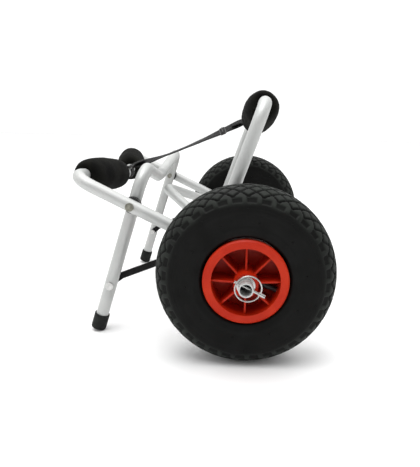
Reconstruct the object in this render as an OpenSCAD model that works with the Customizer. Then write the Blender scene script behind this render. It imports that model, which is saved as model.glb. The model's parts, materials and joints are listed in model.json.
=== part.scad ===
/* [Wheels] */
// Outside diameter of a tyre
tyre_d = 260; // [256:1:264]
// Width of a tyre at its widest
tyre_w = 82; // [78:1:84]
// Distance between the middles of the two wheels
track = 560; // [558:1:580]
// Outside diameter of the rim flange
rim_d = 120; // [116:1:124]
// Ribs on each side of a rim
rib_count = 8; // [5:1:10]

/* [Tubes] */
// Outside diameter of the frame tubes and the axle
tube_d = 20; // [18:0.5:20]
// Wall thickness of every tube
tube_wall = 1.8; // [1.5:0.1:3]
// Outside diameter of the brace tube
brace_d = 18; // [14:0.5:18]
// Radius of the corner bends, on the tube's centre line
corner_r = 32; // [28:1:36]
// Slope of the two halves of each cradle bar
bar_slope = 11; // [8:0.5:11]

/* [Main frame] */
// Angle of the main frame above the ground
frame_angle = 25.6; // [24:0.2:27]
// Distance from the axle to the corner of the main frame
frame_reach = 298; // [296:1:306]
// Distance between the centre lines of the main frame's legs
frame_w = 450; // [448:1:450]

/* [Upright frame] */
// Angle of the upright frame above the ground
upright_angle = 70.6; // [68:0.2:74]
// Length of the upright frame, from its hinge pin to its corner
upright_len = 210; // [208:1:212]
// Distance of the hinge from the axle, along the main frame
hinge_at = 62; // [58:1:66]

/* [Kickstand] */
// Angle of the kickstand above the ground
kick_angle = 72.8; // [70:0.2:76]
// Distance of the kickstand pivot from the axle, along the main frame
pivot_at = 196; // [192:1:198]
// Height of the kickstand's corner above its pivot
kick_top = 60; // [56:1:62]

/* [Soft parts] */
// Outside diameter of the foam bumpers
foam_d = 58; // [48:1:58]
// Length of a foam bumper
foam_len = 145; // [120:1:148]
// Width of the strap between the frames
strap_w = 25; // [20:1:30]
// Width of the kickstand tethers
tether_w = 11; // [8:1:14]

/* [Hidden] */
$fn = 64;
tube_r = tube_d / 2;
brace_r = brace_d / 2;
wheel_r = tyre_d / 2;
rim_r = rim_d / 2;
axle_z = wheel_r;
run_gap = 0.05;
side_gap = 0.3;
over = 1;
swell = 0.04;
lap = 0.4;
cope_r = tube_r + 0.02;

// The bend where a cradle bar's slope meets its level middle
dip_r = 30;
dip_half = 18;
dip_tangent = dip_r * tan(bar_slope / 2);
corner_turn = 90 + bar_slope;
corner_tangent = corner_r * tan(corner_turn / 2);

// Wheel section, measured from the wheel's middle plane
rim_face = 43;
rim_face_in = 40;
bead_face = 34;
barrel_r = 53;
pocket_r = 48;
rim_edge = 2;
web_half = 3;
rib_t = 2.6;
rib_set_back = 3;
rib_drop = 5;
hub_r = 17;
bush_r = 13;
bush_len = 22;
hub_in = 40;
hub_out = 55;
tyre_mid_r = 97;
tyre_t = 5;
bead_w = 11;
tube_ring_r = 88;
tube_section_r = 32.4;
inner_tube_wall = 2;
valve_r = 4;
valve_cap_r = 4.6;
valve_cap_len = 12;
valve_from = 36;
valve_to = tube_ring_r - tube_section_r + 3;
valve_z = 14;
valve_angle = -22.5;

// Axle ends, washers and linch pins
axle_half = track / 2 + 74;
pin_y = track / 2 + 61;
pin_r = 2;
pin_tip = 17.5;
pin_head = 28.5;
pin_head_at = 19;
pin_head_r = 2.9;
pin_angle = -26;
ring_r = 18;
ring_wire_r = 1.1;
ring_eye_half = 4.2;
ring_eye_x = sqrt(ring_r * ring_r - ring_eye_half * ring_eye_half);
ring_open = asin(ring_eye_half / ring_r);
ring_eye_at = 21;
ring_tilt = 6;
collar_r = 15;
washer_r = 12.6;
washer_t = 2;

// Kickstand, inside the main frame's legs
pivot_gap = 3;
half_w = frame_w / 2;
kick_half = half_w - tube_d - pivot_gap;
kick_in = kick_half - tube_r;
saddle_y = (half_w + kick_half) / 2;
pivot_x = -pivot_at * cos(frame_angle);
pivot_z = axle_z + pivot_at * sin(frame_angle);
bolt_r = 3;
bolt_head_r = 6.5;
bolt_head_t = 3.4;
nut_r = 5.6;
nut_t = 6;
saddle_r = 13;
saddle_depth = 6;
foot_r = 12.2;
foot_round = 4;
foot_floor = 4;
foot_len = 27;
kick_tilt = 90 - kick_angle;
foot_drop = (foot_r - foot_round) * sin(kick_tilt) + foot_round;
kick_len = foot_round + (pivot_z - foot_drop) / cos(kick_tilt);
tether_at = 141;

// Upright frame, on brackets above the main frame's legs
hinge_rise = 25;
hinge_x = -hinge_at * cos(frame_angle) + hinge_rise * sin(frame_angle);
hinge_z = axle_z + hinge_at * sin(frame_angle) + hinge_rise * cos(frame_angle);
upright_end = 9;
hinge_pin_r = 3;
ear_t = 2;
ear_gap = 0.3;
ear_half = 8;
rivet_head_r = 5.5;
rivet_head_t = 1.5;
bracket_out = half_w + tube_r + ear_gap + ear_t;
bracket_in = half_w - tube_r - ear_gap - ear_t;

// Brace, a V of tube whose two arms would meet at brace_reach if its tip were sharp
brace_angle = frame_angle + 2.6;
brace_reach = 182;
brace_half = 203;
brace_bend_r = 30;

// Foam bumpers, strap and tethers
foam_r = foam_d / 2;
foam_y = 110;
foam_round = 20;
strap_t = 2;
tether_t = 1.6;
tether_out = 1.6;
nut_clear = 0.9;
frame_foam_x = frame_reach - (half_w - foam_y) * tan(bar_slope);
frame_mid_x = frame_reach - (half_w - dip_half) * tan(bar_slope);
upright_mid_x = upright_len - (half_w - dip_half) * tan(bar_slope);
frame_mid = [-frame_mid_x * cos(frame_angle), axle_z + frame_mid_x * sin(frame_angle)];
upright_mid = [hinge_x + upright_mid_x * cos(upright_angle), hinge_z + upright_mid_x * sin(upright_angle)];
strap_run = upright_mid - frame_mid;
strap_slope = atan2(strap_run[1], strap_run[0]);
strap_len = norm(strap_run);
slider_at = strap_len - 52;
slider_len = 14;
slider_bar = 4;
slider_t = 6;

// Each tether runs from a bolt on the kickstand's leg to the hinge bolt
kick_end = [pivot_x - tether_at * cos(kick_angle), pivot_z - tether_at * sin(kick_angle)];
frame_end = [-hinge_at * cos(frame_angle), axle_z + hinge_at * sin(frame_angle)];
tether_run = frame_end - kick_end;
tether_y0 = kick_in - tether_out - tether_t / 2;
tether_y1 = bracket_in - tether_out - tether_t / 2;
tether_slope = atan2(tether_run[1], tether_run[0]);
tether_turn = atan2(tether_y1 - tether_y0, norm(tether_run));
tether_nut_y = kick_in - tether_out - tether_t - side_gap;
bracket_nut_t = 3;
bracket_nut_y = bracket_in - tether_out - tether_t - nut_clear;

// The origin stands on the ground under the middle of the cart's length
bar_lean = sin(bar_slope) * cos(frame_angle);
foam_overhang = (foam_len / 2 - foam_round) * bar_lean
    + (foam_r - foam_round) * sqrt(1 - bar_lean * bar_lean) + foam_round;
front_x = -frame_foam_x * cos(frame_angle) - foam_overhang;
origin_x = -(front_x + wheel_r) / 2;

// ---- placing ----

// x runs along the main frame from the axle, z stands above its plane
module on_frame() {
    translate([origin_x, 0, axle_z]) mirror([1, 0, 0]) rotate([0, -frame_angle, 0]) children();
}

// x runs up the kickstand from its pivot
module on_kickstand() {
    translate([origin_x + pivot_x, 0, pivot_z]) rotate([0, -kick_angle, 0]) children();
}

// x runs up the upright frame from its hinge
module on_upright() {
    translate([origin_x + hinge_x, 0, hinge_z]) rotate([0, -upright_angle, 0]) children();
}

// z runs along the axle, outward on the given side
module on_wheel(side) {
    translate([origin_x, side * track / 2, axle_z]) rotate([-90 * side, 0, 0]) children();
}

module both_sides() {
    children();
    mirror([0, 1, 0]) children();
}

// A cylinder along y, centred on y
module cross_rod(r, y, len) {
    translate([0, y, 0]) rotate([90, 0, 0]) cylinder(r = r, h = len, center = true);
}

// ---- bent tubes ----

module pipe(r, len) difference() {
    cylinder(r = r, h = len);
    translate([0, 0, -over]) cylinder(r = r - tube_wall, h = len + 2 * over);
}

// A bend, a hair fatter than the straight tube that it laps over
module elbow(r, bend_r, turn) rotate_extrude(angle = turn) translate([bend_r, 0]) difference() {
    circle(r + swell);
    circle(r - tube_wall - swell);
}

// Half of a tube frame: one leg, its corner, the slope of the bar and the bend into its level middle
module u_half(w, start, reach) {
    leg_len = reach - corner_tangent - start + lap;
    slope_len = (w - dip_half) / cos(bar_slope) - corner_tangent - dip_tangent + 2 * lap;
    slope_start = corner_tangent - lap;
    mid_x = reach - (w - dip_half) * tan(bar_slope);
    translate([start, w, 0]) rotate([0, 90, 0]) pipe(tube_r, leg_len);
    translate([reach - corner_tangent, w - corner_r, 0]) rotate([0, 0, -bar_slope])
        elbow(tube_r, corner_r, corner_turn);
    translate([reach - slope_start * sin(bar_slope), w - slope_start * cos(bar_slope), 0])
        rotate([0, 0, -bar_slope]) rotate([90, 0, 0]) pipe(tube_r, slope_len);
    translate([mid_x + dip_r, dip_half - dip_tangent, 0]) rotate([0, 0, 180 - bar_slope])
        elbow(tube_r, dip_r, bar_slope);
}

// Two legs and the dipped bar that joins them
module u_tube(w, start, reach) {
    mid_len = 2 * (dip_half - dip_tangent + lap);
    both_sides() u_half(w, start, reach);
    translate([reach - (w - dip_half) * tan(bar_slope), mid_len / 2, 0]) rotate([90, 0, 0])
        pipe(tube_r, mid_len);
}

// Two straight arms from the axle to a bend at the tip
module v_tube() {
    arm_angle = atan2(brace_half, brace_reach);
    arm_len = norm([brace_half, brace_reach]) - brace_bend_r * tan(90 - arm_angle) + lap;
    both_sides() translate([0, brace_half, 0]) rotate([0, 0, -arm_angle]) rotate([0, 90, 0])
        pipe(brace_r, arm_len);
    translate([brace_reach - brace_bend_r / sin(arm_angle), 0, 0]) rotate([0, 0, arm_angle - 90])
        elbow(brace_r, brace_bend_r, 180 - 2 * arm_angle);
}

// ---- frames ----

module main_frame_tube() color("silver") on_frame() difference() {
    u_tube(half_w, 0, frame_reach);
    cross_rod(cope_r, 0, 2 * half_w + 2 * tube_d);
    translate([pivot_at, 0, 0]) both_sides() cross_rod(bolt_r + run_gap, half_w, tube_d + 2 * over);
    translate([hinge_at, 0, 0]) both_sides() cross_rod(bolt_r + run_gap, half_w, tube_d + 2 * over);
}

module axle_tube() color("silver") translate([origin_x, 0, axle_z]) difference() {
    cross_rod(tube_r, 0, 2 * axle_half);
    cross_rod(tube_r - tube_wall, 0, 2 * axle_half + 2 * over);
    both_sides() translate([0, -pin_y, 0]) rotate([0, 90 - pin_angle, 0])
        cylinder(r = pin_r + run_gap, h = 2 * tube_d, center = true);
}

module axle_brace() color("silver") translate([origin_x, 0, axle_z]) difference() {
    mirror([1, 0, 0]) rotate([0, -brace_angle, 0]) v_tube();
    cross_rod(cope_r, 0, 2 * axle_half);
}

module upright_frame_tube() color("silver") on_upright() difference() {
    u_tube(half_w, -upright_end, upright_len);
    both_sides() cross_rod(hinge_pin_r + run_gap, half_w, tube_d + 2 * over);
}

module kickstand_frame_tube() color("silver") on_kickstand() difference() {
    u_tube(kick_half, foot_floor - kick_len, kick_top);
    both_sides() cross_rod(bolt_r + run_gap, kick_half, tube_d + 2 * over);
    translate([-tether_at, 0, 0]) both_sides() cross_rod(bolt_r + run_gap, kick_half, tube_d + 2 * over);
}

// ---- hinges and fasteners ----

module bracket_ear(y) {
    translate([hinge_at, 0, hinge_rise]) cross_rod(ear_half, y, ear_t);
    translate([hinge_at - ear_half, y - ear_t / 2, -tube_r - ear_gap - ear_t])
        cube([2 * ear_half, ear_t, hinge_rise + tube_r + ear_gap + ear_t]);
}

module hinge_brackets() color("dimgray") on_frame() both_sides() {
    ear_y = tube_r + ear_gap + ear_t / 2;
    difference() {
        union() {
            bracket_ear(half_w - ear_y);
            bracket_ear(half_w + ear_y);
            translate([hinge_at - ear_half, half_w - ear_y, -tube_r - ear_gap - ear_t])
                cube([2 * ear_half, 2 * ear_y, ear_t]);
        }
        translate([hinge_at, 0, 0]) cross_rod(bolt_r + run_gap, half_w, 2 * tube_d);
        translate([hinge_at, 0, hinge_rise]) cross_rod(hinge_pin_r, half_w, 2 * tube_d);
    }
}

// A plain pin with a low head at both ends, across one leg
module riveted_pin(y) {
    span = 2 * (tube_r + ear_gap + ear_t);
    cross_rod(hinge_pin_r, y, span);
    for (end = [-1, 1])
        cross_rod(rivet_head_r, y + end * (span + rivet_head_t) / 2, rivet_head_t);
}

module hinge_pins() color("silver") on_frame() both_sides()
    translate([hinge_at, 0, hinge_rise]) riveted_pin(half_w);

// A round-headed bolt along y: head face at y_out, tip at y_in
module bolt(y_in, y_out, head_t) {
    cross_rod(bolt_r, (y_in + y_out) / 2, y_out - y_in);
    cross_rod(bolt_head_r, y_out + head_t / 2, head_t);
}

// A hexagon nut on a bolt of the given radius, from y_in outward to y_out
module nut(y_in, y_out) {
    translate([0, (y_in + y_out) / 2, 0]) rotate([90, 0, 0]) difference() {
        cylinder(r = nut_r, h = y_out - y_in, center = true, $fn = 6);
        cylinder(r = bolt_r, h = y_out - y_in + 2 * over, center = true);
    }
}

module bracket_bolts() color("silver") on_frame() both_sides() translate([hinge_at, 0, 0])
    bolt(bracket_nut_y - bracket_nut_t, bracket_out, rivet_head_t);

module bracket_nuts() color("silver") on_frame() both_sides() translate([hinge_at, 0, 0])
    nut(bracket_nut_y - bracket_nut_t, bracket_nut_y);

module kickstand_bolts() color("silver") on_frame() both_sides() translate([pivot_at, 0, 0])
    bolt(kick_in - side_gap - nut_t, half_w + tube_r, bolt_head_t);

module kickstand_nuts() color("silver") on_frame() both_sides() translate([pivot_at, 0, 0])
    nut(kick_in - side_gap - nut_t, kick_in - side_gap);

// Half of the spacer between two tubes: flat on one face, hollowed to a tube on the other
module saddle(y_flat, y_deep) {
    difference() {
        cross_rod(saddle_r, (y_flat + y_deep) / 2, abs(y_deep - y_flat));
        cross_rod(bolt_r + run_gap, (y_flat + y_deep) / 2, 2 * abs(y_deep - y_flat));
        children();
    }
}

module leg_hollow(y)
    translate([-2 * saddle_r, y, 0]) rotate([0, 90, 0]) cylinder(r = tube_r, h = 4 * saddle_r);

module frame_saddles() color("black") on_frame() both_sides() translate([pivot_at, 0, 0])
    saddle(saddle_y + run_gap, saddle_y + saddle_depth) leg_hollow(half_w);

module kickstand_saddles() color("black") on_kickstand() both_sides()
    saddle(saddle_y - run_gap, saddle_y - saddle_depth) leg_hollow(kick_half);

module foot_cap(side) color("black") on_kickstand() translate([-kick_len, side * kick_half, 0])
    rotate([0, 90, 0]) difference() {
        union() {
            translate([0, 0, foot_round]) cylinder(r = foot_r, h = foot_len - foot_round);
            rotate_extrude() translate([foot_r - foot_round, foot_round]) circle(foot_round);
            cylinder(r = foot_r - foot_round, h = foot_round);
        }
        translate([0, 0, foot_floor]) cylinder(r = tube_r, h = foot_len);
    }

module foot_cap_left() foot_cap(1);

module foot_cap_right() foot_cap(-1);

module tether_bolts() color("silver") on_kickstand() translate([-tether_at, 0, 0]) both_sides()
    bolt(tether_nut_y - nut_t, kick_half + tube_r, rivet_head_t);

module tether_nuts() color("silver") on_kickstand() translate([-tether_at, 0, 0]) both_sides()
    nut(tether_nut_y - nut_t, tether_nut_y);

// ---- strap and tethers ----

module tether_eye() difference() {
    cross_rod(tether_w / 2, 0, tether_t);
    cross_rod(bolt_r + side_gap, 0, 2 * tether_t);
}

module tether_band() {
    span = norm([tether_run[0], tether_run[1], tether_y1 - tether_y0]);
    eye = bolt_r + over;
    tether_eye();
    rotate([0, 0, tether_turn]) translate([eye, -tether_t / 2, -tether_w / 2])
        cube([span - 2 * eye, tether_t, tether_w]);
    translate([norm(tether_run), tether_y1 - tether_y0, 0]) tether_eye();
}

module tether_left() color("black")
    translate([origin_x + kick_end[0], tether_y0, kick_end[1]]) rotate([0, -tether_slope, 0]) tether_band();

module tether_right() color("black") mirror([0, 1, 0])
    translate([origin_x + kick_end[0], tether_y0, kick_end[1]]) rotate([0, -tether_slope, 0]) tether_band();

module strap_loop() difference() {
    cross_rod(tube_r + side_gap + strap_t, 0, strap_w);
    cross_rod(tube_r + side_gap, 0, strap_w + 2 * over);
}

module along_strap() {
    translate([origin_x + frame_mid[0], 0, frame_mid[1]]) rotate([0, -strap_slope, 0]) children();
}

module top_strap() color("black") along_strap() {
    strap_loop();
    translate([strap_len, 0, 0]) strap_loop();
    translate([0, -strap_w / 2, tube_r + side_gap]) cube([strap_len, strap_w, strap_t]);
}

module strap_slider() color("black") along_strap()
    translate([slider_at, 0, tube_r + side_gap + strap_t / 2]) difference() {
    cube([slider_len, strap_w + 2 * slider_bar, slider_t], center = true);
    cube([slider_len + 2 * over, strap_w, strap_t], center = true);
}

// ---- foam bumpers ----

module foam_bumper() rotate([90, 0, 0]) difference() {
    mid = foam_len / 2 - foam_round;
    union() {
        cylinder(r = foam_r, h = 2 * mid, center = true);
        cylinder(r = foam_r - foam_round, h = foam_len, center = true);
        for (end = [-1, 1]) translate([0, 0, end * mid])
            rotate_extrude() translate([foam_r - foam_round, 0]) intersection() {
                circle(foam_round);
                translate([0, -foam_round]) square([foam_round, 2 * foam_round]);
            }
    }
    cylinder(r = tube_r, h = foam_len + 2 * over, center = true);
}

module on_bar(reach, side) {
    translate([reach - (half_w - foam_y) * tan(bar_slope), side * foam_y, 0])
        rotate([0, 0, -side * bar_slope]) children();
}

module frame_foam_left() color("black") on_frame() on_bar(frame_reach, 1) foam_bumper();

module frame_foam_right() color("black") on_frame() on_bar(frame_reach, -1) foam_bumper();

module upright_foam_left() color("black") on_upright() on_bar(upright_len, 1) foam_bumper();

module upright_foam_right() color("black") on_upright() on_bar(upright_len, -1) foam_bumper();

// ---- axle hardware ----

module ring_plate(r_in, r_out, y0, y1) difference() {
    cross_rod(r_out, (y0 + y1) / 2, y1 - y0);
    cross_rod(r_in, (y0 + y1) / 2, y1 - y0 + 2 * over);
}

module axle_collars() color("silver") translate([origin_x, 0, axle_z]) both_sides()
    ring_plate(tube_r + run_gap, collar_r, half_w + tube_r + side_gap, track / 2 - hub_in - side_gap);

module outer_washers() color("silver") translate([origin_x, 0, axle_z]) both_sides()
    ring_plate(tube_r + run_gap, washer_r, track / 2 + hub_out + side_gap,
        track / 2 + hub_out + side_gap + washer_t);

// x runs along the pin from the axle's centre to the pin's head
module on_pin() {
    translate([origin_x, -pin_y, axle_z]) rotate([0, -pin_angle, 0]) children();
}

module linch_pins() color("silver") both_sides() on_pin() difference() {
    union() {
        translate([-pin_tip, 0, 0]) rotate([0, 90, 0]) cylinder(r = pin_r, h = pin_tip + pin_head_at);
        translate([pin_head_at, 0, 0]) rotate([0, 90, 0])
            cylinder(r = pin_head_r, h = pin_head - pin_head_at);
    }
    translate([ring_eye_at, 0, 0]) cylinder(r = ring_wire_r + run_gap, h = 4 * pin_head_r, center = true);
}

module pin_ring() on_pin() translate([ring_eye_at, 0, 0]) rotate([0, 0, ring_tilt])
    translate([-ring_eye_x, 0, 0]) rotate([90, 0, 0]) {
        rotate([0, 0, ring_open]) rotate_extrude(angle = 360 - 2 * ring_open)
            translate([ring_r, 0]) circle(ring_wire_r);
        translate([ring_eye_x, 0, 0]) rotate([90, 0, 0])
            cylinder(r = ring_wire_r, h = 2 * ring_eye_half, center = true);
    }

module pin_ring_right() color("silver") pin_ring();

module pin_ring_left() color("silver") mirror([0, 1, 0]) pin_ring();

// ---- wheels ----

// Half of the tyre's outer section: crown to widest point, then down to the bead
function crown(r, h, w) = [for (a = [0 : 10 : 90]) [r + h * pow(cos(a), 0.75), w * pow(sin(a), 0.9)]];
function wall(r, r_low, w, w_low) =
    [for (a = [15 : 15 : 90]) [r - (r - r_low) * sin(a), w_low + (w - w_low) * cos(a)]];
function flip(points) = [for (i = [len(points) - 1 : -1 : 0]) [points[i][0], -points[i][1]]];

module tyre(side) color("black") on_wheel(side) rotate_extrude() {
    out = concat(
        crown(tyre_mid_r, wheel_r - tyre_mid_r, tyre_w / 2),
        wall(tyre_mid_r, barrel_r, tyre_w / 2, bead_face));
    in = concat(
        crown(tyre_mid_r, wheel_r - tyre_mid_r - 1.6 * tyre_t, tyre_w / 2 - tyre_t),
        wall(tyre_mid_r, barrel_r, tyre_w / 2 - tyre_t, bead_face - bead_w));
    difference() {
        polygon(concat(flip(out), out));
        polygon(concat(flip(in), in));
    }
}

module inner_tube(side) color("dimgray") on_wheel(side) rotate_extrude()
    translate([tube_ring_r, 0]) difference() {
        circle(tube_section_r);
        circle(tube_section_r - inner_tube_wall);
    }

module rim_rib(z_top) {
    translate([0, rib_t / 2, 0]) rotate([90, 0, 0]) linear_extrude(rib_t)
        polygon([
            [hub_r - over, 0], [pocket_r + over, 0],
            [pocket_r + over, z_top - rib_drop], [hub_r - over, z_top]
        ]);
}

module rim(side) color("orangered") on_wheel(side) difference() {
    union() {
        rotate_extrude() polygon([
            [bush_r, -hub_in], [hub_r, -hub_in], [hub_r, -web_half], [pocket_r, -web_half],
            [pocket_r, -rim_face_in], [rim_r - rim_edge, -rim_face_in], [rim_r, -rim_face_in + rim_edge],
            [rim_r, -bead_face],
            [barrel_r, -bead_face], [barrel_r, bead_face], [rim_r, bead_face], [rim_r, rim_face - rim_edge],
            [rim_r - rim_edge, rim_face], [pocket_r, rim_face], [pocket_r, web_half], [hub_r, web_half],
            [hub_r, hub_out], [bush_r, hub_out]
        ]);
        for (i = [0 : rib_count - 1]) rotate([0, 0, i * 360 / rib_count]) {
            rim_rib(rim_face - rib_set_back);
            mirror([0, 0, 1]) rim_rib(rim_face_in - rib_set_back);
        }
    }
    rotate([0, 0, valve_angle]) translate([pocket_r - over, 0, valve_z]) rotate([0, 90, 0])
        cylinder(r = valve_r, h = barrel_r);
}

module hub_bushes(side) color("white") on_wheel(side) {
    for (z = [-hub_in, hub_out - bush_len]) translate([0, 0, z]) difference() {
        cylinder(r = bush_r, h = bush_len);
        translate([0, 0, -over]) cylinder(r = tube_r + run_gap, h = bush_len + 2 * over);
    }
}

// A rubber stem from the inner tube through the rim, with its cap
module valve(side) color("black") on_wheel(side) rotate([0, 0, valve_angle]) translate([0, 0, valve_z])
    rotate([0, 90, 0]) {
        translate([0, 0, valve_from]) cylinder(r = valve_r, h = valve_to - valve_from);
        translate([0, 0, valve_from - valve_cap_len + over]) cylinder(r = valve_cap_r, h = valve_cap_len);
    }

module tyre_left() tyre(1);

module tyre_right() tyre(-1);

module inner_tube_left() inner_tube(1);

module inner_tube_right() inner_tube(-1);

module rim_left() rim(1);

module rim_right() rim(-1);

module hub_bushes_left() hub_bushes(1);

module hub_bushes_right() hub_bushes(-1);

module valve_left() valve(1);

module valve_right() valve(-1);

main_frame_tube();
axle_tube();
axle_brace();
upright_frame_tube();
kickstand_frame_tube();
hinge_brackets();
hinge_pins();
bracket_bolts();
bracket_nuts();
kickstand_bolts();
kickstand_nuts();
frame_saddles();
kickstand_saddles();
foot_cap_left();
foot_cap_right();
tether_bolts();
tether_nuts();
tether_left();
tether_right();
frame_foam_left();
frame_foam_right();
upright_foam_left();
upright_foam_right();
top_strap();
strap_slider();
axle_collars();
outer_washers();
linch_pins();
pin_ring_left();
pin_ring_right();
tyre_left();
inner_tube_left();
rim_left();
hub_bushes_left();
valve_left();
tyre_right();
inner_tube_right();
rim_right();
hub_bushes_right();
valve_right();
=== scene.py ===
import json
from math import cos, pi, radians, sin, sqrt

import bmesh
import bpy
from mathutils import Matrix, Vector, noise


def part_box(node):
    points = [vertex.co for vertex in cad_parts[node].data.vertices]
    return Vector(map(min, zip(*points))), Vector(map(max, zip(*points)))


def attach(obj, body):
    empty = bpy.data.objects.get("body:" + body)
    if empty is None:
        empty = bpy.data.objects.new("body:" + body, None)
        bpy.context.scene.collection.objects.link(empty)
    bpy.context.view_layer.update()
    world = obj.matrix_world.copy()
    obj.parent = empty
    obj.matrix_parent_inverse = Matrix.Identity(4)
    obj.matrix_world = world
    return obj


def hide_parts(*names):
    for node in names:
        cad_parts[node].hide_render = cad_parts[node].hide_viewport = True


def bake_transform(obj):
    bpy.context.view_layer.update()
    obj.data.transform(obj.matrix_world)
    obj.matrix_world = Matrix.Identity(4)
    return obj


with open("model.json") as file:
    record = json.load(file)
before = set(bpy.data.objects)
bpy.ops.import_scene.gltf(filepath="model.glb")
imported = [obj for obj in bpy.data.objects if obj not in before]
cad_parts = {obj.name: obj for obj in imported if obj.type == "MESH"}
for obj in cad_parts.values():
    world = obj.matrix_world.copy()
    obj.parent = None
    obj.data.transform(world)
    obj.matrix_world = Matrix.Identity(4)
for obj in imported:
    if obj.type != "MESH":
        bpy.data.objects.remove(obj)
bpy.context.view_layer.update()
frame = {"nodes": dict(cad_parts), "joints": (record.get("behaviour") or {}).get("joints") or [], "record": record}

NODES = frame["nodes"]
MM = 0.001
SIDES = {"left": 1, "right": -1}

# Sizes that the CAD model shares, in metres
TUBE_R = 10 * MM
BAR_SLOPE = radians(11)
WHEEL_R = 130 * MM
TYRE_HALF = 41 * MM
STRAP_W = 25 * MM
TETHER_W = 11 * MM
LOOP_GAP = 0.3 * MM
# The foam is a little smaller than its CAD solids, and the strap a little thinner
FOAM_R = 28.5 * MM
FOAM_LEN = 140 * MM
WEBBING_T = 1.6 * MM
# Sewing thread, which the CAD model doesn't have
THREAD_PITCH = 2.6 * MM
THREAD_R = 0.35 * MM


# ---- places, read from the frame ----

JOINTS = {j["name"]: j for j in frame["joints"]}
AXLE = Vector(JOINTS["wheel_spin_left"]["pos_m"])
AXLE.y = 0
PIVOT = Vector(JOINTS["kickstand_fold"]["pos_m"])
FRONT = (PIVOT - AXLE).normalized()
FRAME_UP = Vector((FRONT.z, 0, -FRONT.x))
HALF_TRACK = JOINTS["wheel_spin_left"]["pos_m"][1]
HINGE = Vector(JOINTS["upright_fold"]["pos_m"])


def centre(node):
    a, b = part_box(node)
    return (a + b) / 2


# ---- camera, floor and light ----

CAMERA_AT = Vector((0.0663, -0.9588, 0.3462))
CAMERA_YAW, CAMERA_PITCH, CAMERA_ROLL = radians(-1.47), radians(14.53), radians(1.29)
LENS = 37.8
SHIFT_X, SHIFT_Y = -0.034, 0.027
VIEW_END = 50
FLOOR_REACH = 9
# Each area light: its name, where it is, what it aims at, its size and its power
LIGHTS = [
    ("key", (-0.3, -0.7, 2.6), (0, 0, 0.15), 1.8, 34),
    ("overhead", (0, 2.5, 5.5), (0, 2.5, 0), 8, 170),
]
# The sky grows brighter towards the back. It grows by these shares of that towards the top and the right
SKY_TOP, SKY_RIGHT = 0.9, -0.25
SKY_SPAN = (("From Min", -0.7), ("From Max", 0.6), ("To Min", 0.3), ("To Max", 1.1))


def add_camera():
    data = bpy.data.cameras.new("camera")
    data.lens = LENS
    data.shift_x, data.shift_y = SHIFT_X, SHIFT_Y
    data.clip_end = VIEW_END
    camera = bpy.data.objects.new("camera", data)
    bpy.context.scene.collection.objects.link(camera)
    turn = Matrix.Rotation(-CAMERA_YAW, 4, "Z") @ Matrix.Rotation(pi / 2 - CAMERA_PITCH, 4, "X")
    camera.matrix_world = Matrix.Translation(CAMERA_AT) @ turn @ Matrix.Rotation(CAMERA_ROLL, 4, "Z")
    bpy.context.scene.camera = camera


def add_area_light(name, at, aim, size, power):
    data = bpy.data.lights.new(name, "AREA")
    data.size = size
    data.energy = power
    light = bpy.data.objects.new(name, data)
    bpy.context.scene.collection.objects.link(light)
    light.location = at
    light.rotation_euler = (Vector(aim) - Vector(at)).to_track_quat("-Z", "Y").to_euler()


def add_stage():
    mesh = bpy.data.meshes.new("floor")
    signs = [(-1, -1), (1, -1), (1, 1), (-1, 1)]
    mesh.from_pydata([(a * FLOOR_REACH, b * FLOOR_REACH, 0) for a, b in signs], [], [(0, 1, 2, 3)])
    floor = bpy.data.objects.new("floor", mesh)
    bpy.context.scene.collection.objects.link(floor)
    floor.data.materials.append(floor_paint())
    for light in LIGHTS:
        add_area_light(*light)
    bpy.context.scene.view_settings.view_transform = "Standard"


def add_world():
    """A white studio, brightest behind the cart and above it, and dimmer in front."""
    world = bpy.data.worlds.new("studio")
    bpy.context.scene.world = world
    world.use_nodes = True
    nodes, links = world.node_tree.nodes, world.node_tree.links
    place = nodes.new("ShaderNodeTexCoord").outputs["Generated"]
    parts = nodes.new("ShaderNodeSeparateXYZ")
    links.new(place, parts.inputs[0])
    total = parts.outputs["Y"]
    for source, weight in ((parts.outputs["Z"], SKY_TOP), (parts.outputs["X"], SKY_RIGHT)):
        step = nodes.new("ShaderNodeMath")
        step.operation = "MULTIPLY_ADD"
        step.inputs[1].default_value = weight
        links.new(source, step.inputs[0])
        links.new(total, step.inputs[2])
        total = step.outputs["Value"]
    span = nodes.new("ShaderNodeMapRange")
    for key, number in SKY_SPAN:
        span.inputs[key].default_value = number
    links.new(total, span.inputs["Value"])
    links.new(span.outputs["Result"], nodes["Background"].inputs["Strength"])
    nodes["Background"].inputs["Color"].default_value = (1, 1, 1, 1)


# ---- materials ----


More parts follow.
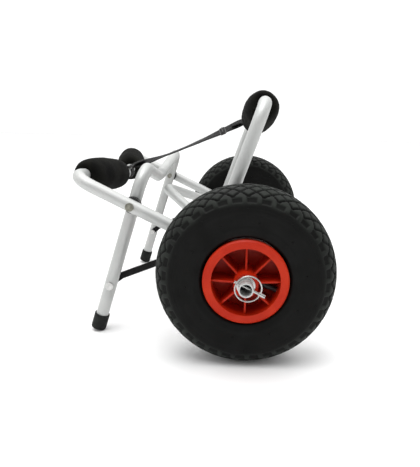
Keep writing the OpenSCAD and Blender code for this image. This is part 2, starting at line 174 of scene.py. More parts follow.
class Paint:
    """A Principled material and short calls for the nodes that give it detail."""

    def __init__(self, name, color, roughness, metallic=0.0):
        self.material = bpy.data.materials.new(name)
        self.material.use_nodes = True
        self.nodes = self.material.node_tree.nodes
        self.links = self.material.node_tree.links
        self.shader = self.nodes["Principled BSDF"]
        self.shader.inputs["Base Color"].default_value = (*color, 1)
        self.shader.inputs["Roughness"].default_value = roughness
        self.shader.inputs["Metallic"].default_value = metallic
        self.position = self.nodes.new("ShaderNodeTexCoord").outputs["Object"]
        self.bumped = None

    def link(self, a, b):
        self.links.new(a, b)

    def scaled(self, x, y, z, source=None):
        node = self.nodes.new("ShaderNodeMapping")
        node.inputs["Scale"].default_value = (x, y, z)
        self.link(source or self.position, node.inputs["Vector"])
        return node.outputs["Vector"]

    def noise(self, scale, detail=4, vector=None):
        node = self.nodes.new("ShaderNodeTexNoise")
        node.inputs["Scale"].default_value = scale
        node.inputs["Detail"].default_value = detail
        self.link(vector or self.position, node.inputs["Vector"])
        return node.outputs["Fac"]

    def cells(self, scale, vector=None):
        node = self.nodes.new("ShaderNodeTexVoronoi")
        node.inputs["Scale"].default_value = scale
        self.link(vector or self.position, node.inputs["Vector"])
        return node.outputs["Distance"]

    def waves(self, scale, direction, vector=None, distortion=0.0):
        node = self.nodes.new("ShaderNodeTexWave")
        node.bands_direction = direction
        node.inputs["Scale"].default_value = scale
        node.inputs["Distortion"].default_value = distortion
        self.link(vector or self.position, node.inputs["Vector"])
        return node.outputs["Fac"]

    def span(self, value, from_low, from_high, to_low, to_high):
        node = self.nodes.new("ShaderNodeMapRange")
        numbers = (from_low, from_high, to_low, to_high)
        for key, number in zip(("From Min", "From Max", "To Min", "To Max"), numbers):
            node.inputs[key].default_value = number
        self.link(value, node.inputs["Value"])
        return node.outputs["Result"]

    def ramp(self, value, *stops):
        """Colours along a value; each stop is (place, colour)."""
        node = self.nodes.new("ShaderNodeValToRGB")
        for i, (place, color) in enumerate(stops):
            stop = node.color_ramp.elements[i] if i < 2 else node.color_ramp.elements.new(place)
            stop.position = place
            stop.color = (*color, 1)
        self.link(value, node.inputs["Fac"])
        return node.outputs["Color"]

    def shades(self, value, *stops):
        """As ramp, but each stop is (place, grey)."""
        return self.ramp(value, *[(place, (grey, grey, grey)) for place, grey in stops])

    def math(self, operation, a, b):
        node = self.nodes.new("ShaderNodeMath")
        node.operation = operation
        self.link(a, node.inputs[0])
        self.link(b, node.inputs[1])
        return node.outputs["Value"]

    def color(self, output):
        self.link(output, self.shader.inputs["Base Color"])

    def roughness(self, output):
        self.link(output, self.shader.inputs["Roughness"])

    def bump(self, height, strength, distance):
        node = self.nodes.new("ShaderNodeBump")
        node.inputs["Strength"].default_value = strength
        node.inputs["Distance"].default_value = distance
        self.link(height, node.inputs["Height"])
        if self.bumped:
            self.link(self.bumped, node.inputs["Normal"])
        self.bumped = node.outputs["Normal"]
        self.link(self.bumped, self.shader.inputs["Normal"])


def floor_paint():
    paint = Paint("floor", (0.93, 0.93, 0.93), 0.75)
    paint.color(paint.shades(paint.noise(3), (0.3, 0.92), (0.7, 0.94)))
    return paint.material


def aluminium_paint():
    """Satin tube: a fine grain, faint smudges and a few darker handling marks."""
    paint = Paint("satin_aluminium", (0.5, 0.5, 0.5), 0.45, metallic=0.45)
    smudge = paint.noise(22, 5)
    tones = [(0.25, (0.45, 0.46, 0.45)), (0.5, (0.52, 0.53, 0.52)), (0.8, (0.58, 0.58, 0.57))]
    paint.color(paint.ramp(smudge, *tones))
    grain = paint.noise(900, 2)
    paint.roughness(paint.span(paint.math("ADD", smudge, grain), 0.7, 1.3, 0.4, 0.58))
    paint.bump(grain, 0.12, 0.0002)
    paint.bump(paint.noise(60, 3), 0.05, 0.0006)
    return paint.material


def zinc_paint():
    paint = Paint("zinc_steel", (0.72, 0.72, 0.74), 0.22, metallic=1.0)
    stain = paint.noise(160, 5)
    tones = [(0.2, (0.34, 0.34, 0.33)), (0.55, (0.52, 0.52, 0.51)), (0.9, (0.66, 0.65, 0.62))]
    paint.color(paint.ramp(stain, *tones))
    paint.roughness(paint.span(stain, 0.2, 0.8, 0.14, 0.36))
    paint.bump(paint.noise(1500, 2), 0.08, 0.0001)
    return paint.material


def bolt_paint():
    """Bolt heads and nuts with dull, stained, slightly yellow plating."""
    paint = Paint("dull_steel", (0.3, 0.3, 0.28), 0.4, metallic=0.9)
    stain = paint.noise(240, 5)
    tones = [(0.25, (0.11, 0.11, 0.09)), (0.55, (0.24, 0.235, 0.2)), (0.85, (0.4, 0.39, 0.34))]
    paint.color(paint.ramp(stain, *tones))
    paint.roughness(paint.span(stain, 0.2, 0.8, 0.28, 0.5))
    paint.bump(paint.noise(1300, 2), 0.15, 0.0001)
    return paint.material


def bracket_paint():
    paint = Paint("bracket_steel", (0.02, 0.02, 0.02), 0.4)
    paint.color(paint.shades(paint.noise(300, 6), (0.3, 0.012), (0.72, 0.03)))
    paint.roughness(paint.span(paint.noise(90), 0.3, 0.7, 0.34, 0.5))
    paint.bump(paint.noise(1400, 2), 0.25, 0.0002)
    return paint.material


def foam_paint():
    """Foam with a dull, dusty, very dark skin full of small cells."""
    paint = Paint("foam", (0.01, 0.01, 0.01), 0.95)
    paint.shader.inputs["Specular IOR Level"].default_value = 0.05
    paint.shader.inputs["Sheen Weight"].default_value = 0.02
    paint.shader.inputs["Sheen Roughness"].default_value = 0.6
    pores = paint.cells(700)
    dust = paint.noise(45, 6)
    paint.color(paint.ramp(dust, (0.3, (0.0015, 0.0015, 0.0015)), (0.75, (0.009, 0.009, 0.007))))
    paint.bump(pores, 0.55, 0.0006)
    paint.bump(dust, 0.35, 0.0012)
    return paint.material


def webbing_paint(name):
    """Flat woven webbing, read from how far along and across the band a point lies."""
    paint = Paint(name, (0.012, 0.012, 0.012), 0.7)
    band = paint.nodes.new("ShaderNodeAttribute")
    band.attribute_name = "band"
    place = band.outputs["Vector"]
    paint.shader.inputs["Specular IOR Level"].default_value = 0.2
    paint.shader.inputs["Sheen Weight"].default_value = 0.06
    rows = paint.waves(1, "X", paint.scaled(620, 0, 0, place))
    ribs = paint.waves(1, "Y", paint.scaled(0, 420, 0, place))
    weave = paint.math("MULTIPLY", rows, ribs)
    tones = [(0.05, (0.003, 0.003, 0.003)), (0.6, (0.014, 0.014, 0.015)), (1.0, (0.04, 0.04, 0.042))]
    paint.color(paint.ramp(weave, *tones))
    paint.roughness(paint.span(weave, 0, 1, 0.8, 0.5))
    paint.bump(weave, 0.7, 0.0004)
    return paint.material


def plastic_paint():
    paint = Paint("black_plastic", (0.014, 0.014, 0.014), 0.45)
    paint.color(paint.shades(paint.noise(120, 4), (0.3, 0.01), (0.7, 0.02)))
    paint.roughness(paint.span(paint.noise(200), 0.3, 0.7, 0.38, 0.55))
    paint.bump(paint.noise(1600, 2), 0.2, 0.0002)
    return paint.material


def foot_paint():
    paint = Paint("foot_rubber", (0.03, 0.032, 0.034), 0.7)
    paint.color(paint.ramp(paint.noise(80, 5), (0.3, (0.004, 0.005, 0.0045)), (0.75, (0.014, 0.016, 0.014))))
    paint.shader.inputs["Specular IOR Level"].default_value = 0.25
    paint.roughness(paint.span(paint.noise(150), 0.3, 0.7, 0.6, 0.85))
    paint.bump(paint.noise(900, 3), 0.3, 0.0003)
    return paint.material


def tyre_paint():
    """Moulded tyre rubber, paler where the tread stands proud, partly as dust and partly as a painted sheen, and
    darkened by painted shade where the tread is cut.
    """
    paint = Paint("tyre_rubber", (0.018, 0.018, 0.018), 0.62)
    paint.shader.inputs["Specular IOR Level"].default_value = 0.16
    wear_and_shade = paint.nodes.new("ShaderNodeAttribute")
    wear_and_shade.attribute_name = "wear_and_shade"
    cloud = paint.noise(35, 6)
    shade = paint.math("MULTIPLY", wear_and_shade.outputs["Fac"], paint.span(cloud, 0.3, 0.7, 0.55, 1.15))
    tones = [(0.0, (0.0003, 0.0004, 0.0003)), (0.3, (0.0018, 0.002, 0.0016)), (0.9, (0.02, 0.023, 0.02))]
    paint.color(paint.ramp(shade, *tones))
    paint.roughness(paint.span(cloud, 0.3, 0.7, 0.5, 0.72))
    paint.bump(paint.noise(700, 3), 0.25, 0.0004)
    return paint.material


def tube_rubber_paint():
    paint = Paint("tube_rubber", (0.015, 0.015, 0.015), 0.5)
    paint.color(paint.shades(paint.noise(60, 4), (0.3, 0.008), (0.7, 0.02)))
    paint.bump(paint.noise(800, 2), 0.15, 0.0002)
    return paint.material


def rim_paint():
    """Orange-red moulded plastic with a soft gloss and faint flow marks."""
    paint = Paint("rim_plastic", (0.62, 0.035, 0.012), 0.38)
    paint.shader.inputs["Specular IOR Level"].default_value = 0.16
    flow = paint.noise(28, 5, paint.scaled(1, 0.4, 1))
    tones = [(0.25, (0.4, 0.013, 0.002)), (0.5, (0.47, 0.019, 0.003)), (0.8, (0.54, 0.03, 0.006))]
    paint.color(paint.ramp(flow, *tones))
    paint.roughness(paint.span(paint.noise(140, 4), 0.3, 0.7, 0.3, 0.46))
    paint.bump(paint.noise(1100, 2), 0.1, 0.0002)
    return paint.material


def bush_paint():
    paint = Paint("bush_plastic", (0.7, 0.7, 0.66), 0.5)
    paint.color(paint.ramp(paint.noise(90, 4), (0.3, (0.6, 0.6, 0.56)), (0.7, (0.76, 0.76, 0.72))))
    return paint.material


def weld_paint():
    paint = Paint("weld", (0.55, 0.55, 0.56), 0.45, metallic=0.9)
    paint.color(paint.ramp(paint.noise(200, 5), (0.3, (0.38, 0.38, 0.38)), (0.7, (0.66, 0.66, 0.67))))
    paint.bump(paint.noise(500, 3), 0.3, 0.0004)
    return paint.material


def thread_paint():
    paint = Paint("stitching", (0.03, 0.03, 0.03), 0.7)
    paint.color(paint.shades(paint.noise(1500, 2), (0.3, 0.02), (0.7, 0.07)))
    return paint.material


PAINTS = {
    "satin_aluminium": aluminium_paint(),
    "zinc_steel": zinc_paint(),
    "dull_steel": bolt_paint(),
    "bracket_steel": bracket_paint(),
    "foam": foam_paint(),
    "webbing": webbing_paint("webbing"),
    "black_plastic": plastic_paint(),
    "foot_rubber": foot_paint(),
    "tyre_rubber": tyre_paint(),
    "tube_rubber": tube_rubber_paint(),
    "rim_plastic": rim_paint(),
    "bush_plastic": bush_paint(),
    "weld": weld_paint(),
    "thread": thread_paint(),
}


def paint_nodes():
    """Every CAD node takes the material of its own slot; the frame's bolts are duller than the rest."""
    for part in frame["record"]["subparts"]:
        node = NODES[part["node"]]
        dull = part["node"].startswith(("kickstand_", "bracket_")) and part["material_slot"] == "zinc_steel"
        paint = PAINTS["dull_steel" if dull else part["material_slot"]]
        if not node.material_slots:
            node.data.materials.append(paint)
        for place in node.material_slots:
            place.material = paint


# ---- mesh helpers ----


def new_piece(name, verts, faces, paint, smooth=True):
    mesh = bpy.data.meshes.new(name)
    mesh.from_pydata([tuple(v) for v in verts], [], faces)
    mesh.validate()
    mesh.materials.append(PAINTS[paint])
    for face in mesh.polygons:
        face.use_smooth = smooth
    piece = bpy.data.objects.new(name, mesh)
    bpy.context.scene.collection.objects.link(piece)
    return piece


def grid_faces(rows, columns, close_rows, close_columns):
    """Quads over rows of points; either direction may close on itself."""
    faces = []
    for i in range(rows if close_rows else rows - 1):
        for j in range(columns if close_columns else columns - 1):
            a, b = i, (i + 1) % rows
            c, d = j, (j + 1) % columns
            faces.append((a * columns + c, a * columns + d, b * columns + d, b * columns + c))
    return faces


def swept_tube(name, points, radii, sides, paint, closed=False):
    """A round rod along points, with a radius at each; its ends are capped."""
    count = len(points)
    verts = []
    side = None
    for i, point in enumerate(points):
        before = points[i - 1] if i or closed else point
        after = points[(i + 1) % count] if i < count - 1 or closed else point
        way = (after - before).normalized()
        side = side or way.orthogonal()
        side = (side - way * side.dot(way)).normalized()
        other = way.cross(side)
        for k in range(sides):
            turn = 2 * pi * k / sides
            verts.append(point + (side * cos(turn) + other * sin(turn)) * radii[i])
    faces = grid_faces(count, sides, closed, True)
    if not closed:
        faces += [tuple(range(sides))[::-1], tuple(range((count - 1) * sides, count * sides))]
    return new_piece(name, verts, faces, paint)


def ribbon(name, points, across, width, thick, paint="webbing", closed=False):
    """A flat woven band along points. across holds the direction of its width at each point.
    Each vertex keeps how far along and across the band it lies, for the weave."""
    count = len(points)
    half = width / 2
    rim = thick / 2
    section = [(-half, 0), (-half + rim, rim)]
    section += [(-half + rim + (width - 2 * rim) * k / 6, rim) for k in range(1, 7)]
    section += [(half, 0), (half - rim, -rim)]
    section += [(half - rim - (width - 2 * rim) * k / 6, -rim) for k in range(1, 7)]
    verts, band = [], []
    run = 0.0
    for i, point in enumerate(points):
        before = points[i - 1] if i or closed else point
        after = points[(i + 1) % count] if i < count - 1 or closed else point
        if i:
            run += (point - points[i - 1]).length
        way = (after - before).normalized()
        wide = (across[i] - way * across[i].dot(way)).normalized()
        up = way.cross(wide)
        for u, v in section:
            verts.append(point + wide * u + up * v)
            band.append((run, u, v))
    size = len(section)
    faces = grid_faces(count, size, closed, True)
    if not closed:
        faces += [tuple(range(size))[::-1], tuple(range((count - 1) * size, count * size))]
    piece = new_piece(name, verts, faces, paint)
    attribute = piece.data.attributes.new("band", "FLOAT_VECTOR", "POINT")
    attribute.data.foreach_set("vector", [x for place in band for x in place])
    return piece


def stitches(name, start, along, across, up, length, width):
    """A box of thread with a cross inside it, as short raised dashes THREAD_PITCH apart."""
    corners = [(0, -1), (1, -1), (1, 1), (0, 1)]
    corner = [start + along * length * a + across * width / 2 * b for a, b in corners]
    runs = [(0, 1), (1, 2), (2, 3), (3, 0), (0, 2), (1, 3)]
    verts, faces = [], []
    for a, b in runs:
        line = corner[b] - corner[a]
        count = max(2, int(line.length / THREAD_PITCH))
        for k in range(count):
            p = corner[a] + line * ((k + 0.15) / count)
            q = corner[a] + line * ((k + 0.8) / count)
            sideways = line.normalized().cross(up).normalized() * THREAD_R
            base = len(verts)
            ridge = up * THREAD_R
            verts += [p - sideways, p + sideways, q + sideways, q - sideways]
            verts += [p.lerp(q, 0.3) + ridge, p.lerp(q, 0.7) + ridge]
            faces += [
                (base, base + 3, base + 5, base + 4),
                (base + 1, base + 4, base + 5, base + 2),
                (base, base + 4, base + 1),
                (base + 3, base + 2, base + 5),
                (base, base + 1, base + 2, base + 3),
            ]
    return new_piece(name, verts, faces, "thread", smooth=False)


# ---- tyres ----

TREAD_PITCHES = 36
TREAD_STEPS = 20
SECTION_STEP = 1.25 * MM
DIAMOND_H = 16.4 * MM
TREAD_HALF = 2.25 * DIAMOND_H
GROOVE_DEPTH = 3.4 * MM
RECESS_FROM, RECESS_TO = 39.5 * MM, 46.5 * MM
RECESS_DEPTH = 2.2 * MM
SHOULDER_END = 51 * MM
SHOULDER_STEP = 0.9 * MM
SHOULDER_FADE = 12 * MM
TYRE_MID_R = 97 * MM
BEAD_R = 60.4 * MM
BEAD_HALF = 34.6 * MM
CASING_T = 8 * MM
CASING_INSET = 0.8
# Raised rings on the sidewall: radius, half width and height of each
WALL_RINGS = [
    (103.2 * MM, 1.8 * MM, 0.8 * MM),
    (99.6 * MM, 1.8 * MM, 0.7 * MM),
    (73 * MM, 3.2 * MM, 1.3 * MM),
    (66 * MM, 2.8 * MM, 1.2 * MM),
]
# How pale the rubber is on the sidewall and inside, and on the tread's tops, whose paleness is partly dust and
# partly a painted sheen
WALL_WEAR, INSIDE_WEAR, TREAD_DUST_AND_SHEEN = 0.25, 0.3, 0.9
# How much painted shade darkens the tread where it is cut deepest, in the grooves and in the shoulder's recesses
GROOVE_SHADE, RECESS_SHADE = 0.95, 0.6
# The mould's whiskers: how many to a ring, their radii, their turn within a step and how deep they are set
NUB_COUNT = 10
NUB_RINGS = [(84 * MM, 0.2, 1.0 * MM), (103 * MM, 0.5, 0.6 * MM)]
NUB_FOOT_R, NUB_TIP_R, NUB_LEN = 0.9 * MM, 0.6 * MM, 1.5 * MM
NUB_SIDES = 8


def tyre_profile():
    """Half of the tyre's outer section as (radius, distance from the middle), crown to bead, finely."""
    points = []
    for k in range(601):
        a = pi / 2 * k / 600
        points.append((TYRE_MID_R + (WHEEL_R - TYRE_MID_R) * cos(a) ** 0.75, TYRE_HALF * sin(a) ** 0.9))
    for k in range(1, 301):
        a = pi / 2 * k / 300
        flank = BEAD_HALF + (TYRE_HALF - BEAD_HALF) * cos(a)
        points.append((TYRE_MID_R - (TYRE_MID_R - BEAD_R) * sin(a), flank))
    return points


def tyre_outline():
    """The half section at even steps, each with its length from the crown: (radius, distance, length)."""
    run, due = 0.0, 0.0
    kept = []
    last = None
    for r, y in tyre_profile():
        if last:
            run += sqrt((r - last[0]) ** 2 + (y - last[1]) ** 2)
        if run >= due:
            kept.append((r, y, run))
            due += SECTION_STEP if run < SHOULDER_END + 6 * MM else 3 * SECTION_STEP
        last = (r, y)
    return kept


def step_up(value, edge, soft):
    """0 below edge, 1 above it, with a soft slope between."""
    t = min(1.0, max(0.0, (value - edge) / soft + 0.5))
    return t * t * (3 - 2 * t)


def tread_depth(turn, run):
    """How deep the tread is cut at this angle and length from the middle of the crown."""
    u = TREAD_PITCHES * turn / (2 * pi)
    v = run / DIAMOND_H
    pitch = 2 * pi * WHEEL_R / TREAD_PITCHES
    slant = pitch * DIAMOND_H / sqrt(pitch * pitch + DIAMOND_H * DIAMOND_H)
    run = abs(run)
    if run <= TREAD_HALF + 1.5 * MM:
        near = min(abs((u + v + 0.75) % 1 - 0.5), abs((u - v + 0.25) % 1 - 0.5)) * slant
        return GROOVE_DEPTH * (1 - step_up(near, 1.35 * MM, 1.1 * MM))
    if run < SHOULDER_END:
        inside = step_up(0.33 - abs((u + (0.25 if v > 0 else -0.25)) % 1 - 0.5), 0, 0.1)
        ends = step_up(run, RECESS_FROM, 1.6 * MM) * (1 - step_up(run, RECESS_TO, 1.6 * MM))
        return RECESS_DEPTH * inside * ends
    return SHOULDER_STEP * step_up(run, SHOULDER_END + 1 * MM, 1.5 * MM)


def wall_rings(radius):
    """How far the moulded rings raise the sidewall at this radius."""
    return sum(tall * max(0.0, 1 - ((radius - at) / wide) ** 2) for at, wide, tall in WALL_RINGS)


def tyre(side_name):
    """A closed casing: tread and sidewalls outside, a plain skin inside, turned round the axle."""
    side = SIDES[side_name]
    half = tyre_outline()
    outline = [(r, -y, -run) for r, y, run in reversed(half[1:])] + half
    inner = [(r - CASING_T if r > TYRE_MID_R else r, y * CASING_INSET, 0) for r, y, _ in outline[::8]][::-1]
    section = outline + inner
    steps = TREAD_PITCHES * TREAD_STEPS
    verts, wear_and_shade = [], []
    for i in range(steps):
        turn = 2 * pi * i / steps
        for k, (r, y, run) in enumerate(section):
            shade = INSIDE_WEAR
            if k < len(outline):
                cut = tread_depth(turn, run)
                # The crown is paler than the sidewall, partly as dust and partly as a painted sheen, and painted
                # shade darkens the tread where it is cut
                crown = 1 - step_up(abs(run), SHOULDER_END - SHOULDER_FADE / 4, SHOULDER_FADE)
                deepest = GROOVE_SHADE if abs(run) < TREAD_HALF else RECESS_SHADE
                dust_and_sheen = WALL_WEAR + (TREAD_DUST_AND_SHEEN - WALL_WEAR) * crown
                shade = dust_and_sheen * (1 - deepest * min(1.0, cut / RECESS_DEPTH) * crown)
                lean = min(1.0, abs(run) / SHOULDER_END) ** 2
                r, y = r - cut * (1 - 0.55 * lean), y * (1 - cut * lean * 20)
                y += (1 if y > 0 else -1) * wall_rings(r) * (abs(run) > SHOULDER_END)
            verts.append(AXLE + Vector((r * cos(turn), side * HALF_TRACK + y, r * sin(turn))))
            wear_and_shade.append(max(0.0, shade))
    faces = grid_faces(steps, len(section), True, True)
    piece = new_piece("tyre_" + side_name, verts, faces, "tyre_rubber")
    piece.data.attributes.new("wear_and_shade", "FLOAT", "POINT").data.foreach_set("value", wear_and_shade)
    fix_normals(piece)
    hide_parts("tyre_" + side_name)
    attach(piece, "wheel_" + side_name)


def vent_nubs(side_name):
    """The small rubber whiskers that a mould leaves on the sidewall."""
    side = SIDES[side_name]
    turns = [2 * pi * k / NUB_SIDES for k in range(NUB_SIDES)]
    verts, faces = [], []
    for i in range(NUB_COUNT):
        for radius, start, sunk in NUB_RINGS:
            turn = 2 * pi * (i + start) / NUB_COUNT
            for out in (-1, 1):
                across = side * HALF_TRACK + out * (TYRE_HALF - sunk)
                foot = AXLE + Vector((radius * cos(turn), across, radius * sin(turn)))
                base = len(verts)
                verts += [foot + Vector((cos(a), 0, sin(a))) * NUB_FOOT_R for a in turns]
                rise = Vector((0, out * NUB_LEN, 0))
                verts += [foot + rise + Vector((cos(a), 0, sin(a))) * NUB_TIP_R for a in turns]
                for k in range(NUB_SIDES):
                    a, b = base + k, base + (k + 1) % NUB_SIDES
                    faces.append((a, b, b + NUB_SIDES, a + NUB_SIDES))
                middle = base + NUB_SIDES
                faces += [tuple(range(base, middle)), tuple(range(middle, middle + NUB_SIDES))]
    piece = new_piece("vent_nubs_" + side_name, verts, faces, "tyre_rubber")
    piece.data.attributes.new("wear_and_shade", "FLOAT", "POINT").data.foreach_set("value", [INSIDE_WEAR] * len(verts))
    fix_normals(piece)
    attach(piece, "wheel_" + side_name)


def fix_normals(piece):
    work = bmesh.new()
    work.from_mesh(piece.data)
    bmesh.ops.recalc_face_normals(work, faces=work.faces)
    work.to_mesh(piece.data)
    work.free()


# ---- foam bumpers ----

FOAM_SIDES, FOAM_RINGS = 80, 56
FOAM_LIP = 3.5 * MM
FOAM_INSET = 1 * MM
# Dents in the skin: how close together and how deep, coarse then fine
FOAM_DENTS = [(42, 0.9 * MM), (160, 0.35 * MM)]
FOAM_SHRINK = 0.6 * MM


def foam_bumper(name, body, up_bar, side):
    """A sleeve of foam round one half of a cradle bar: swollen in the middle, rolled in at its ends."""
    middle = centre(name)
    axis = (up_bar * sin(BAR_SLOPE) + Vector((0, side * cos(BAR_SLOPE), 0))).normalized()
    across = axis.orthogonal().normalized()
    other = axis.cross(across)
    half = FOAM_LEN / 2 - FOAM_INSET
    sides = [2 * pi * k / FOAM_SIDES for k in range(FOAM_SIDES)]
    ways = [across * cos(turn) + other * sin(turn) for turn in sides]
    verts = []
    for i in range(FOAM_RINGS + 1):
        t = -1 + 2 * i / FOAM_RINGS
        bend = sin(t * pi / 2)
        swell = (1 - abs(bend) ** 3.6) ** (1 / 2.5)
        radius = TUBE_R + FOAM_LIP + (FOAM_R - TUBE_R - FOAM_LIP) * swell
        for way in ways:
            point = middle + axis * (bend * half) + way * radius
            dent = sum(noise.noise(point * scale) * deep for scale, deep in FOAM_DENTS)
            verts.append(point + way * (dent - FOAM_SHRINK) * min(1.0, swell * 1.5))
    bore = (1, 0.96, -0.96, -1)
    for t in bore:
        verts += [middle + axis * (t * half) + way * (TUBE_R + 0.1 * MM) for way in ways]
    faces = grid_faces(FOAM_RINGS + 1 + len(bore), FOAM_SIDES, True, True)
    piece = new_piece(name + "_sleeve", verts, faces, "foam")
    fix_normals(piece)
    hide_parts(name)
    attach(piece, body)


def foam_bumpers(side_name):
    upright_way = centre("upright_foam_left") - HINGE
    upright_way.y = 0
    side = SIDES[side_name]
    foam_bumper("frame_foam_" + side_name, "main_frame", FRONT, side)
    foam_bumper("upright_foam_" + side_name, "upright_frame", upright_way.normalized(), side)


# ---- strap and tethers ----

# How far the strap is turned over on itself, in degrees, along its length
STRAP_TWIST = [(0, 0), (0.12, 24), (0.34, 5), (0.46, 6), (0.6, 11), (0.77, 22), (0.9, 30), (1, 8)]
STRAP_SAG = 7.5 * MM
SLIDER_AT = 0.77
STRAP_STEPS = 72
STRAP_TAIL = 30 * MM
SEWN_FROM, SEWN_LEN, SEWN_MARGIN = 18 * MM, 22 * MM, 7 * MM
SLIDER_LEN, SLIDER_CORNER, SLIDER_ROD = 11 * MM, 3 * MM, 1.2 * MM
# The kink near each tether's lower eye: how far along and how far up, then the tail doubled back over it
KINK_ALONG, KINK_UP = 19 * MM, 4.2 * MM
TAIL_BACK, TAIL_ON = 4 * MM, 34 * MM
TETHER_SEWN_FROM, TETHER_SEWN_LEN, TETHER_SEWN_MARGIN = 14 * MM, 16 * MM, 4 * MM
EYE_MARGIN = 0.8 * MM


def between(stops, t):
    """The value at t along a list of (place, value), eased between its stops."""
    for (t0, v0), (t1, v1) in zip(stops, stops[1:]):
        if t <= t1:
            s = (t - t0) / (t1 - t0)
            return v0 + (v1 - v0) * s * s * (3 - 2 * s)
    return stops[-1][1]


def strap_ends():
    """The middles of the two cradle bars, from the box of the strap's loops."""
    low_corner, high_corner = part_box("top_strap")
    reach = TUBE_R + LOOP_GAP + 2 * MM
    return (
        Vector((low_corner.x + reach, 0, low_corner.z + reach)),
        Vector((high_corner.x - reach, 0, high_corner.z - reach)),
    )


def strap_point(t):
    """A point on the strap and the direction of its width, from the front bar at 0 to the upright at 1."""
    front_bar, rear_bar = strap_ends()
    along = (rear_bar - front_bar).normalized()
    up = Vector((-along.z, 0, along.x))
    rise = up * (TUBE_R + LOOP_GAP + WEBBING_T / 2)
    sag = STRAP_SAG * sin(pi * t**0.7)
    twist = radians(between(STRAP_TWIST, t))
    point = (front_bar + rise).lerp(rear_bar + rise, t) - up * sag
    return point, Vector((0, cos(twist), 0)) + up * sin(twist)


def top_strap():
    front_bar, rear_bar = strap_ends()
    along = (rear_bar - front_bar).normalized()
    places = [strap_point(i / STRAP_STEPS) for i in range(STRAP_STEPS + 1)]
    band = ribbon("strap_band", [p for p, _ in places], [w for _, w in places], STRAP_W, WEBBING_T)
    fix_normals(band)
    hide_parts("top_strap")
    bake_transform(band)
    for name, bar, body, way in (
        ("strap_loop_front", front_bar, "main_frame", along),
        ("strap_loop_rear", rear_bar, "upright_frame", -along),
    ):
        strap_loop(name, bar, body, way)


def strap_loop(name, bar, body, way):
    """The webbing once round a bar, with its end doubled back along the strap and sewn down."""
    up = Vector((-way.z, 0, way.x))
    up = up if up.z > 0 else -up
    ring_r = TUBE_R + LOOP_GAP + WEBBING_T / 2
    points = []
    for k in range(33):
        turn = 1.5 * pi * k / 32
        points.append(bar + (up * cos(turn) - way * sin(turn)) * ring_r)
    leave = points[-1]
    for k in range(1, 15):
        t = k / 14
        under = bar + way * (STRAP_TAIL * t + ring_r) + up * (ring_r - WEBBING_T * 1.15)
        points.append(leave.lerp(under, t**0.6) if t < 0.4 else under)
    wide = [Vector((0, 1, 0))] * len(points)
    loop = ribbon(name, points, wide, STRAP_W - 1 * MM, WEBBING_T)
    fix_normals(loop)
    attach(loop, body)
    start = bar + way * SEWN_FROM + up * (ring_r + WEBBING_T * 0.55)
    width = STRAP_W - SEWN_MARGIN
    sewn = stitches(name + "_stitching", start, way, Vector((0, 1, 0)), up, SEWN_LEN, width)
    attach(sewn, body)


def slider():
    """A three-bar slider that takes up the strap's length."""
    point, wide = strap_point(SLIDER_AT)
    ahead, _ = strap_point(SLIDER_AT + 0.02)
    along = (ahead - point).normalized()
    wide = (wide - along * wide.dot(along)).normalized()
    up = along.cross(wide)
    length, width, rod, corner = SLIDER_LEN, STRAP_W + 4 * MM, SLIDER_ROD, SLIDER_CORNER
    frame_line = []
    for cx, cy, start in ((1, 1, 0), (-1, 1, 1), (-1, -1, 2), (1, -1, 3)):
        for k in range(6):
            a = pi / 2 * (start + k / 5)
            x = cx * (length / 2 - corner) + corner * cos(a)
            y = cy * (width / 2 - corner) + corner * sin(a)
            frame_line.append(point + along * x + wide * y)
    radii = [rod] * len(frame_line)
    outer = swept_tube("slider_frame", frame_line, radii, 10, "black_plastic", closed=True)
    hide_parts("strap_slider")
    bar_line = [point + wide * (width / 2 - rod) * t + up * 1.8 * MM for t in (-1, -0.5, 0, 0.5, 1)]
    middle = swept_tube("slider_bar", bar_line, [rod * 0.8] * 5, 10, "black_plastic")
    for piece in (outer, middle):
        fix_normals(piece)
        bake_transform(piece)


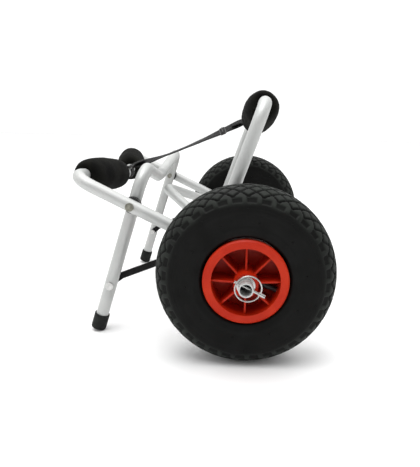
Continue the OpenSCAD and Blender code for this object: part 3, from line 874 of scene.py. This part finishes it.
def tether(side_name):
    """A short webbing stay from the kickstand's leg to the main frame, kinked near its lower bolt."""
    side = SIDES[side_name]
    node = "tether_" + side_name
    low_corner, high_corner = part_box(node)
    eye = TETHER_W / 2
    near_y = min(abs(low_corner.y), abs(high_corner.y)) + EYE_MARGIN
    far_y = max(abs(low_corner.y), abs(high_corner.y)) - EYE_MARGIN
    start = Vector((low_corner.x + eye, side * near_y, low_corner.z + eye))
    end = Vector((high_corner.x - eye, side * far_y, high_corner.z - eye))
    along = (end - start).normalized()
    up = Vector((-along.z, 0, along.x))
    out = Vector((0, -side, 0))
    bend = start + along * KINK_ALONG + up * KINK_UP
    run = (end - bend).normalized()
    points = [start.lerp(bend, i / 6) for i in range(6)] + [bend.lerp(end, i / 34) for i in range(35)]
    band = ribbon(node + "_band", points, [up] * len(points), TETHER_W, WEBBING_T)
    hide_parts(node)
    over = out * WEBBING_T * 1.05
    tail_from, tail_to = bend - run * TAIL_BACK + over, bend + run * TAIL_ON + over
    tail_points = [tail_from.lerp(tail_to, i / 12) for i in range(13)]
    tail = ribbon(node + "_tail", tail_points, [up] * len(tail_points), TETHER_W, WEBBING_T)
    sewn_from = bend + run * TETHER_SEWN_FROM + out * WEBBING_T * 1.6
    sewn_width = TETHER_W - TETHER_SEWN_MARGIN
    sewn = stitches(node + "_stitching", sewn_from, run, up, out, TETHER_SEWN_LEN, sewn_width)
    for piece in (band, tail, sewn):
        fix_normals(piece)
        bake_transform(piece)


# ---- welds ----

WELD_STEPS = 96
WELD_R, WELD_RIPPLE, WELD_RIPPLES = 1.7 * MM, 0.25 * MM, 24
WELD_STAND_OFF = 0.4 * MM
# The main frame's bends are this much fatter than its legs, and they set the width of its box
BEND_SWELL = 0.04 * MM


def weld_bead(name, foot, way, tube_r, up):
    """A rippled bead where a tube's end meets the axle."""
    across = way.cross(up).normalized()
    points, radii = [], []
    for k in range(WELD_STEPS):
        turn = 2 * pi * k / WELD_STEPS
        ring = across * cos(turn) * tube_r + up * sin(turn) * tube_r
        off_axis = ring - Vector((0, ring.y, 0))
        height = off_axis.length
        depth = sqrt(max(0.0, TUBE_R**2 - min(height, TUBE_R) ** 2))
        points.append(foot + ring * 1.03 + way * (depth + WELD_STAND_OFF))
        radii.append(WELD_R + WELD_RIPPLE * sin(turn * WELD_RIPPLES))
    bead = swept_tube(name, points, radii, 8, "weld", closed=True)
    fix_normals(bead)
    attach(bead, "main_frame")


def welds():
    leg_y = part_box("main_frame_tube")[1].y - TUBE_R
    for side_name, side in SIDES.items():
        foot = AXLE + Vector((0, side * (leg_y - BEND_SWELL), 0))
        weld_bead("leg_weld_" + side_name, foot, FRONT, TUBE_R, FRAME_UP)


# ---- build ----

add_camera()
add_stage()
add_world()
paint_nodes()
for name in SIDES:
    tyre(name)
    vent_nubs(name)
    foam_bumpers(name)
    tether(name)
top_strap()
slider()
welds()
